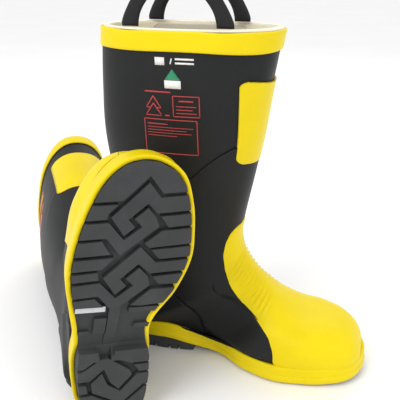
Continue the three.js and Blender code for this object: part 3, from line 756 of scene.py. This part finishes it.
for side in ("left", "right"):
    makeShinGuard(side)
    makeBackstay(side)
    for part, way in (("inner", -1), ("outer", 1)):
        anchor, patch = f"{side}_anchor_{part}", f"{side}_patch_{part}"
        addPiece(anchor, side, sidePatch(legLook["anchor"], way, 5), "handleRubber", [anchor])
        addPiece(patch, side, sidePatch(legLook["patch"], way, 9), "feltPatch", [patch])
print("leg patches made")

# Collar
collarLook = {"columns": 180, "bulge": 1.1, "dip": 0.9, "feet": (34.5, 131.5)}
# Height and offset round the band, lower inner edge first
collarProfile = [(377.4, 0.3), (376.7, 1.0), (376.8, 2.0), (377.6, 2.6), (380, 2.7), (384, 2.6), (390, 2.4),
                 (394.2, 2.5), (395.8, 2.5), (396.6, 1.8), (396.8, 1.0), (396.6, 0.4), (396, 0.25),
                 (385, 0.25)]


def collarPoint(z, angle, off):
    base = bootPoint(tAtHeight(z), angle, off)
    lower = ramp((392 - z) / 16)
    upper = ramp((z - 386) / 10)
    near = np.zeros(len(base))
    for x in collarLook["feet"]:
        near += np.exp(-((base[:, 0] - x) / 17) ** 2)
    flank = ramp((np.abs(base[:, 1] + leg["lean"]) - 25) / 15)
    belly = np.sin(math.pi * np.clip((z - 374) / 24, 0, 1)) ** 0.7
    base = bootPoint(tAtHeight(z), angle, off + collarLook["bulge"] * near * flank * (off > 1) * belly)
    wave = 0.6 * np.sin(3 * angle + 0.6) + 0.4 * np.sin(5 * angle + 2.1)
    base[:, 2] += lower * wave * 1.1 - upper * (collarLook["dip"] * near * flank - 0.3 * wave)
    return base


def makeCollar(side):
    bm = tube(collarProfile + collarProfile[:1], collarLook["columns"], collarPoint)
    addPiece(side + "_collar", side, bm, "yellowRubber", [side + "_collar"])


# Pull handles
handleLook = {"span": 97.0, "centre": 83.0, "width": 17.0, "thickness": 7.5, "rise": 57.0, "set": 35.0,
              "pivot": 4.25, "footRound": 3.76, "squareness": 2.5, "rows": 56, "columns": 20}


def bezier(p0, p1, p2, p3, u):
    u = u[:, None]
    return (p0 * (1 - u) ** 3 + 3 * p1 * u * (1 - u) ** 2 + 3 * p2 * u ** 2 * (1 - u) + p3 * u ** 3)


def archLine(reach, top, lead, crown, u):
    marks = ((-reach, 0), (-reach + lead, top * 0.4), (-reach * crown, top), (0, top))
    ends = [np.array(mark, float) for mark in marks]
    left = bezier(*ends, np.clip(u * 2, 0, 1))
    right = bezier(*ends, np.clip(2 - u * 2, 0, 1)) * (-1, 1)
    return np.where((u <= 0.5)[:, None], left, right)


def makeHandle(side, part, way):
    look = handleLook
    top = look["rise"] - look["pivot"]
    half = look["span"] / 2
    drops = [3.7, 3.3, 2.4, 1.2]
    spots = np.concatenate([[0] * 4, np.linspace(0, 1, look["rows"]), [1] * 4])
    sinks = np.array(drops + [0] * look["rows"] + drops[::-1])
    outer = archLine(half + look["width"] / 2, top, 5, 0.52, spots)
    inner = archLine(half - look["width"] / 2, top - look["width"], 3, 0.48, spots)
    middle, reach = (outer + inner) / 2, (outer - inner) / 2
    middle[:, 1] -= sinks
    ends = np.exp(-(np.minimum(spots, 1 - spots) / 0.09) ** 2)
    wide = 0.86 + 0.16 * ends
    thick = look["thickness"] / 2 * np.sqrt(np.clip(1 - (sinks / look["footRound"]) ** 2, 0.02, 1))
    bm = bmesh.new()
    verts, across, down = gridOf(bm, len(spots) - 1, look["columns"])
    row = np.rint(down * (len(spots) - 1)).astype(int)
    angle = across * math.pi
    c, s = np.cos(angle), np.sin(angle)
    full = look["squareness"]
    out = (np.abs(c) ** full + np.abs(s) ** full) ** (-1 / full)
    stretch = reach[row] * (wide[row] * c * out)[:, None]
    points = np.stack([look["centre"] + middle[row, 0] + stretch[:, 0],
                       -leg["lean"] + way * look["set"] + thick[row] * s * out,
                       leg["rim"] + look["pivot"] + middle[row, 1] + stretch[:, 1]], axis=1)
    setPoints(verts, points)
    bmesh.ops.remove_doubles(bm, verts=bm.verts, dist=0.01)
    bmesh.ops.holes_fill(bm, edges=[e for e in bm.edges if e.is_boundary], sides=0)
    name = side + "_handle_" + part
    addPiece(name, side, bm, "handleRubber", [name], name)


for side in ("left", "right"):
    makeCollar(side)
    for part, way in (("inner", -1), ("outer", 1)):
        makeHandle(side, part, way)
print("collars and handles made")

# Rand
# How far out and how high, round the band
randProfile = [(0.4, 0.2), (3.5, 0.0), (4.1, 0.3), (4.35, 1.1), (4.35, 6.6), (4.1, 7.5), (3.5, 7.9),
               (3.3, 8.3), (3.25, 9.2), (3.25, 17.4), (3.0, 19.0), (2.3, 19.8), (1.4, 20.0), (-2, 19.9),
               (-2, 10)]


def randPoint(out, angle, height):
    share = (angle / math.pi + 1) / 2
    base = outlineAt(share, np.zeros(len(out)))
    return np.column_stack([outlineAt(share, out), randLow(base[:, 0]) + height])


def makeRand(side):
    band = tube(randProfile + randProfile[:1], 240, randPoint)
    addPiece(side + "_rand", side, band, "yellowRubber", [side + "_rand"])


# Outsole, from a copy of its solid: doubles merged, flat faces joined, edges rounded
outsoleLook = {"round": 0.0006, "segments": 2, "sharpAngle": 35}


def makeOutsole(side):
    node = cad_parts[side + "_outsole"]
    bm = bmesh.new()
    bm.from_mesh(node.data)
    bmesh.ops.remove_doubles(bm, verts=bm.verts, dist=2e-6)
    bmesh.ops.dissolve_limit(bm, angle_limit=math.radians(1.0), verts=bm.verts, edges=bm.edges,
                             delimit={"NORMAL"})
    piece = addPiece(side + "_outsole", side, bm, "soleRubber", [side + "_outsole"],
                     millimetres=False)
    piece.data.shade_flat()
    edges = piece.modifiers.new("edges", "BEVEL")
    edges.width = outsoleLook["round"]
    edges.segments = outsoleLook["segments"]
    edges.limit_method = "ANGLE"
    edges.angle_limit = math.radians(outsoleLook["sharpAngle"])
    edges.use_clamp_overlap = True


# Footbed
insoleLook = {"inset": 13.0, "low": 21.6, "thick": 5.0, "columns": 90}


def makeInsole(side):
    look = insoleLook
    count = look["columns"]
    bm = bmesh.new()
    made = bmesh.ops.create_circle(bm, cap_ends=True, segments=count, radius=1)["verts"]
    shares = np.arange(count) / count
    flat = outlineAt(shares, np.full(count, -look["inset"]))
    setPoints(made, np.column_stack([flat, np.zeros(count)]))
    bmesh.ops.inset_region(bm, faces=bm.faces, thickness=4)
    bmesh.ops.inset_region(bm, faces=[f for f in bm.faces if len(f.verts) > 4], thickness=8)
    lifted = bmesh.ops.extrude_face_region(bm, geom=bm.faces[:])["geom"]
    for vert in [v for v in lifted if isinstance(v, bmesh.types.BMVert)]:
        vert.co.z += look["thick"]
    for vert in bm.verts:
        vert.co.z += float(randLow(vert.co.x)) + look["low"]
    addPiece(side + "_insole", side, bm, "footbedFoam", [side + "_insole"])


# Plain strip on the arch, laid on the underside of the cross rib
stripLook = {"from": (135.4, 21.0), "to": (141.3, 50.0), "base": 1.7, "thick": 0.5}


def makeStrip(side):
    (x0, y0), (x1, y1) = stripLook["from"], stripLook["to"]

    def place(height):
        def shape(across, down):
            x, y = x0 + (x1 - x0) * down, (y0 + y1) / 2 + (y1 - y0) / 2 * across
            return np.column_stack([x, y, np.full(len(x), height)])
        return shape

    bm = shell(3, 8, place(stripLook["base"] - stripLook["thick"]), place(stripLook["base"] + 0.3), 0.15)
    addPiece(side + "_size_strip", side, bm, "stripGrey")


for side in ("left", "right"):
    makeRand(side)
    makeOutsole(side)
    makeStrip(side)
    makeInsole(side)
print("soles made")


# Prints on the leg: plain bars and frames
def addBar(bm, way, start, end, width, off=0.32):
    start, end = np.array(start, float), np.array(end, float)
    span = np.linalg.norm(end - start)
    cross = np.array([-(end - start)[1], (end - start)[0]]) / span * width / 2
    columns = max(2, int(span / 4))

    def place(offset):
        def shape(across, down):
            flat = start + (end - start) * ((across + 1) / 2)[:, None] + cross * ((down * 2) - 1)[:, None]
            return bootPoint(tAtHeight(flat[:, 1]), angleAlong(flat[:, 1], flat[:, 0], way), offset)
        return shape

    part = shell(max(1, int(width / 4)), columns, place(off), place(0.02), 0)
    mesh = bpy.data.meshes.new("bar")
    part.to_mesh(mesh)
    part.free()
    bm.from_mesh(mesh)
    bpy.data.meshes.remove(mesh)


def frameBars(left, right, low, high, width):
    return [((left, high), (right, high), width), ((left, low), (right, low), width),
            ((left, low), (left, high), width), ((right, low), (right, high), width)]


# Each print is a start, an end and a width
innerPrints = {
    "inkRed": [*frameBars(81, 108, 313, 334, 1.0), *frameBars(49, 105, 272, 309, 1.0),
               ((51, 337.5), (79, 337.5), 1.5), ((51, 313), (68, 313), 1.0), ((72, 313.5), (77, 313.5), 1.6),
               ((87, 329), (102, 329), 1.6), ((84, 323.5), (105, 323.5), 0.9), ((84, 320), (101, 320), 0.9),
               ((84, 316.5), (105, 316.5), 0.9), ((52, 304), (74, 304), 1.2),
               ((52, 300.5), (101, 300.5), 0.7), ((52, 297.5), (94, 297.5), 0.7),
               ((52, 294.5), (99, 294.5), 0.7), ((52, 291.5), (84, 291.5), 0.7),
               ((52, 321), (60, 333), 1.2), ((60, 333), (68, 321), 1.2), ((52, 321), (57, 321), 1.0),
               ((63, 321), (68, 321), 1.0), ((52, 314), (60, 325.5), 1.2), ((60, 325.5), (68, 314), 1.2)],
    "inkWhite": [((64, 368), (74, 368), 7.5), ((80, 365.5), (81.5, 371), 1.2),
                 ((85, 370.5), (104, 370.5), 1.8), ((85, 366.5), (104, 366.5), 1.8),
                 ((73, 345.5), (90, 345.5), 8)],
    "inkGreen": [((81.5 - reach, z), (81.5 + reach, z), 1.3) for z, reach in
                 [(350.6 + 1.25 * i, 7.6 - 0.95 * i) for i in range(8)]],
}
outerPrints = {
    "inkOrange": [((58, 352), (112, 340), 6.5), ((52, 322), (106, 310), 6.5)],
    "inkYellow": [((56, 343), (110, 331), 4.5)],
    "inkRed": [((54, 334), (108, 322), 4.5), ((60, 296), (100, 296), 3)],
    "inkWhite": [((60, 302), (92, 302), 2.2)],
}


def makePrints(side):
    for part, way, prints in (("inner", -1, innerPrints), ("outer", 1, outerPrints)):
        for ink, bars in prints.items():
            bm = bmesh.new()
            for start, end, width in bars:
                addBar(bm, way, start, end, width)
            addPiece(f"{side}_print_{part}_{ink[3:].lower()}", side, bm, ink)


for side in ("left", "right"):
    makePrints(side)
print("prints made")

# Solids that keep their own shape and only take a finish
carried = {"toe_cap": "bareSteel", "midsole_plate": "bareSteel", "shank": "bareSteel",
           "insole_board": "fibreBoard", "toe_strip": "handleRubber", "heel_counter": "handleRubber",
           "arch_plaque": "soleRubber"}
for side in ("left", "right"):
    for node, finish in carried.items():
        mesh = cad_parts[side + "_" + node].data
        mesh.materials.clear()
        mesh.materials.append(materials[finish])

# Floor, light, camera
stageLook = {"floorSize": 40.0, "floorDrop": 0.0004, "worldStrength": 1.0, "aim": (0.02, -0.05, 0.15)}
bm = bmesh.new()
bmesh.ops.create_grid(bm, x_segments=4, y_segments=4, size=stageLook["floorSize"])
bmesh.ops.translate(bm, verts=bm.verts, vec=(0, 0, -stageLook["floorDrop"]))
floorMesh = bpy.data.meshes.new("floor")
bm.to_mesh(floorMesh)
bm.free()
floorMaterial, floorTree, floorShader = newMaterial("paleFloor")
floorNoise = noiseOn(floorTree, objectCoords(floorTree), 3, 2)
floorTree.links.new(rampOn(floorTree, floorNoise, [(0.3, (0.92, 0.92, 0.92)), (0.7, (0.94, 0.94, 0.94))]),
                    floorShader.inputs["Base Color"])
floorShader.inputs["Roughness"].default_value = 0.9
floorShader.inputs["Specular IOR Level"].default_value = 0.1
floorMesh.materials.append(floorMaterial)
floorPiece = bpy.data.objects.new("floor", floorMesh)
bpy.context.scene.collection.objects.link(floorPiece)

world = bpy.data.worlds.new("studio")
bpy.context.scene.world = world
world.use_nodes = True
world.node_tree.nodes["Background"].inputs["Color"].default_value = (1, 1, 1, 1)
world.node_tree.nodes["Background"].inputs["Strength"].default_value = stageLook["worldStrength"]

lamps = {
    "key": {"place": (-0.55, -1.1, 1.5), "size": 0.9, "power": 12},
    "fill": {"place": (1.5, -0.6, 0.9), "size": 1.2, "power": 3},
    "back": {"place": (0.2, 1.4, 1.5), "size": 1.4, "power": 6},
}
for name, lamp in lamps.items():
    light = bpy.data.lights.new(name, "AREA")
    light.shape = "SQUARE"
    light.size = lamp["size"]
    light.energy = lamp["power"]
    holder = bpy.data.objects.new(name, light)
    holder.location = lamp["place"]
    sight = Vector(stageLook["aim"]) - Vector(lamp["place"])
    holder.rotation_euler = sight.to_track_quat("-Z", "Y").to_euler()
    bpy.context.scene.collection.objects.link(holder)

cameraLook = {"place": (0.2473, -0.5920, 0.4573), "pitch": 67.47, "turn": 16.0, "lens": 49.32,
              "shift": (-0.0375, -0.0283)}
cameraData = bpy.data.cameras.new("camera")
cameraData.sensor_width = 36
cameraData.lens = cameraLook["lens"]
cameraData.shift_x, cameraData.shift_y = cameraLook["shift"]
cameraData.clip_start = 0.01
camera = bpy.data.objects.new("camera", cameraData)
camera.location = cameraLook["place"]
camera.rotation_euler = (math.radians(cameraLook["pitch"]), 0, math.radians(cameraLook["turn"]))
bpy.context.scene.collection.objects.link(camera)
bpy.context.scene.camera = camera
bpy.context.scene.view_settings.view_transform = "Standard"
print("stage made")
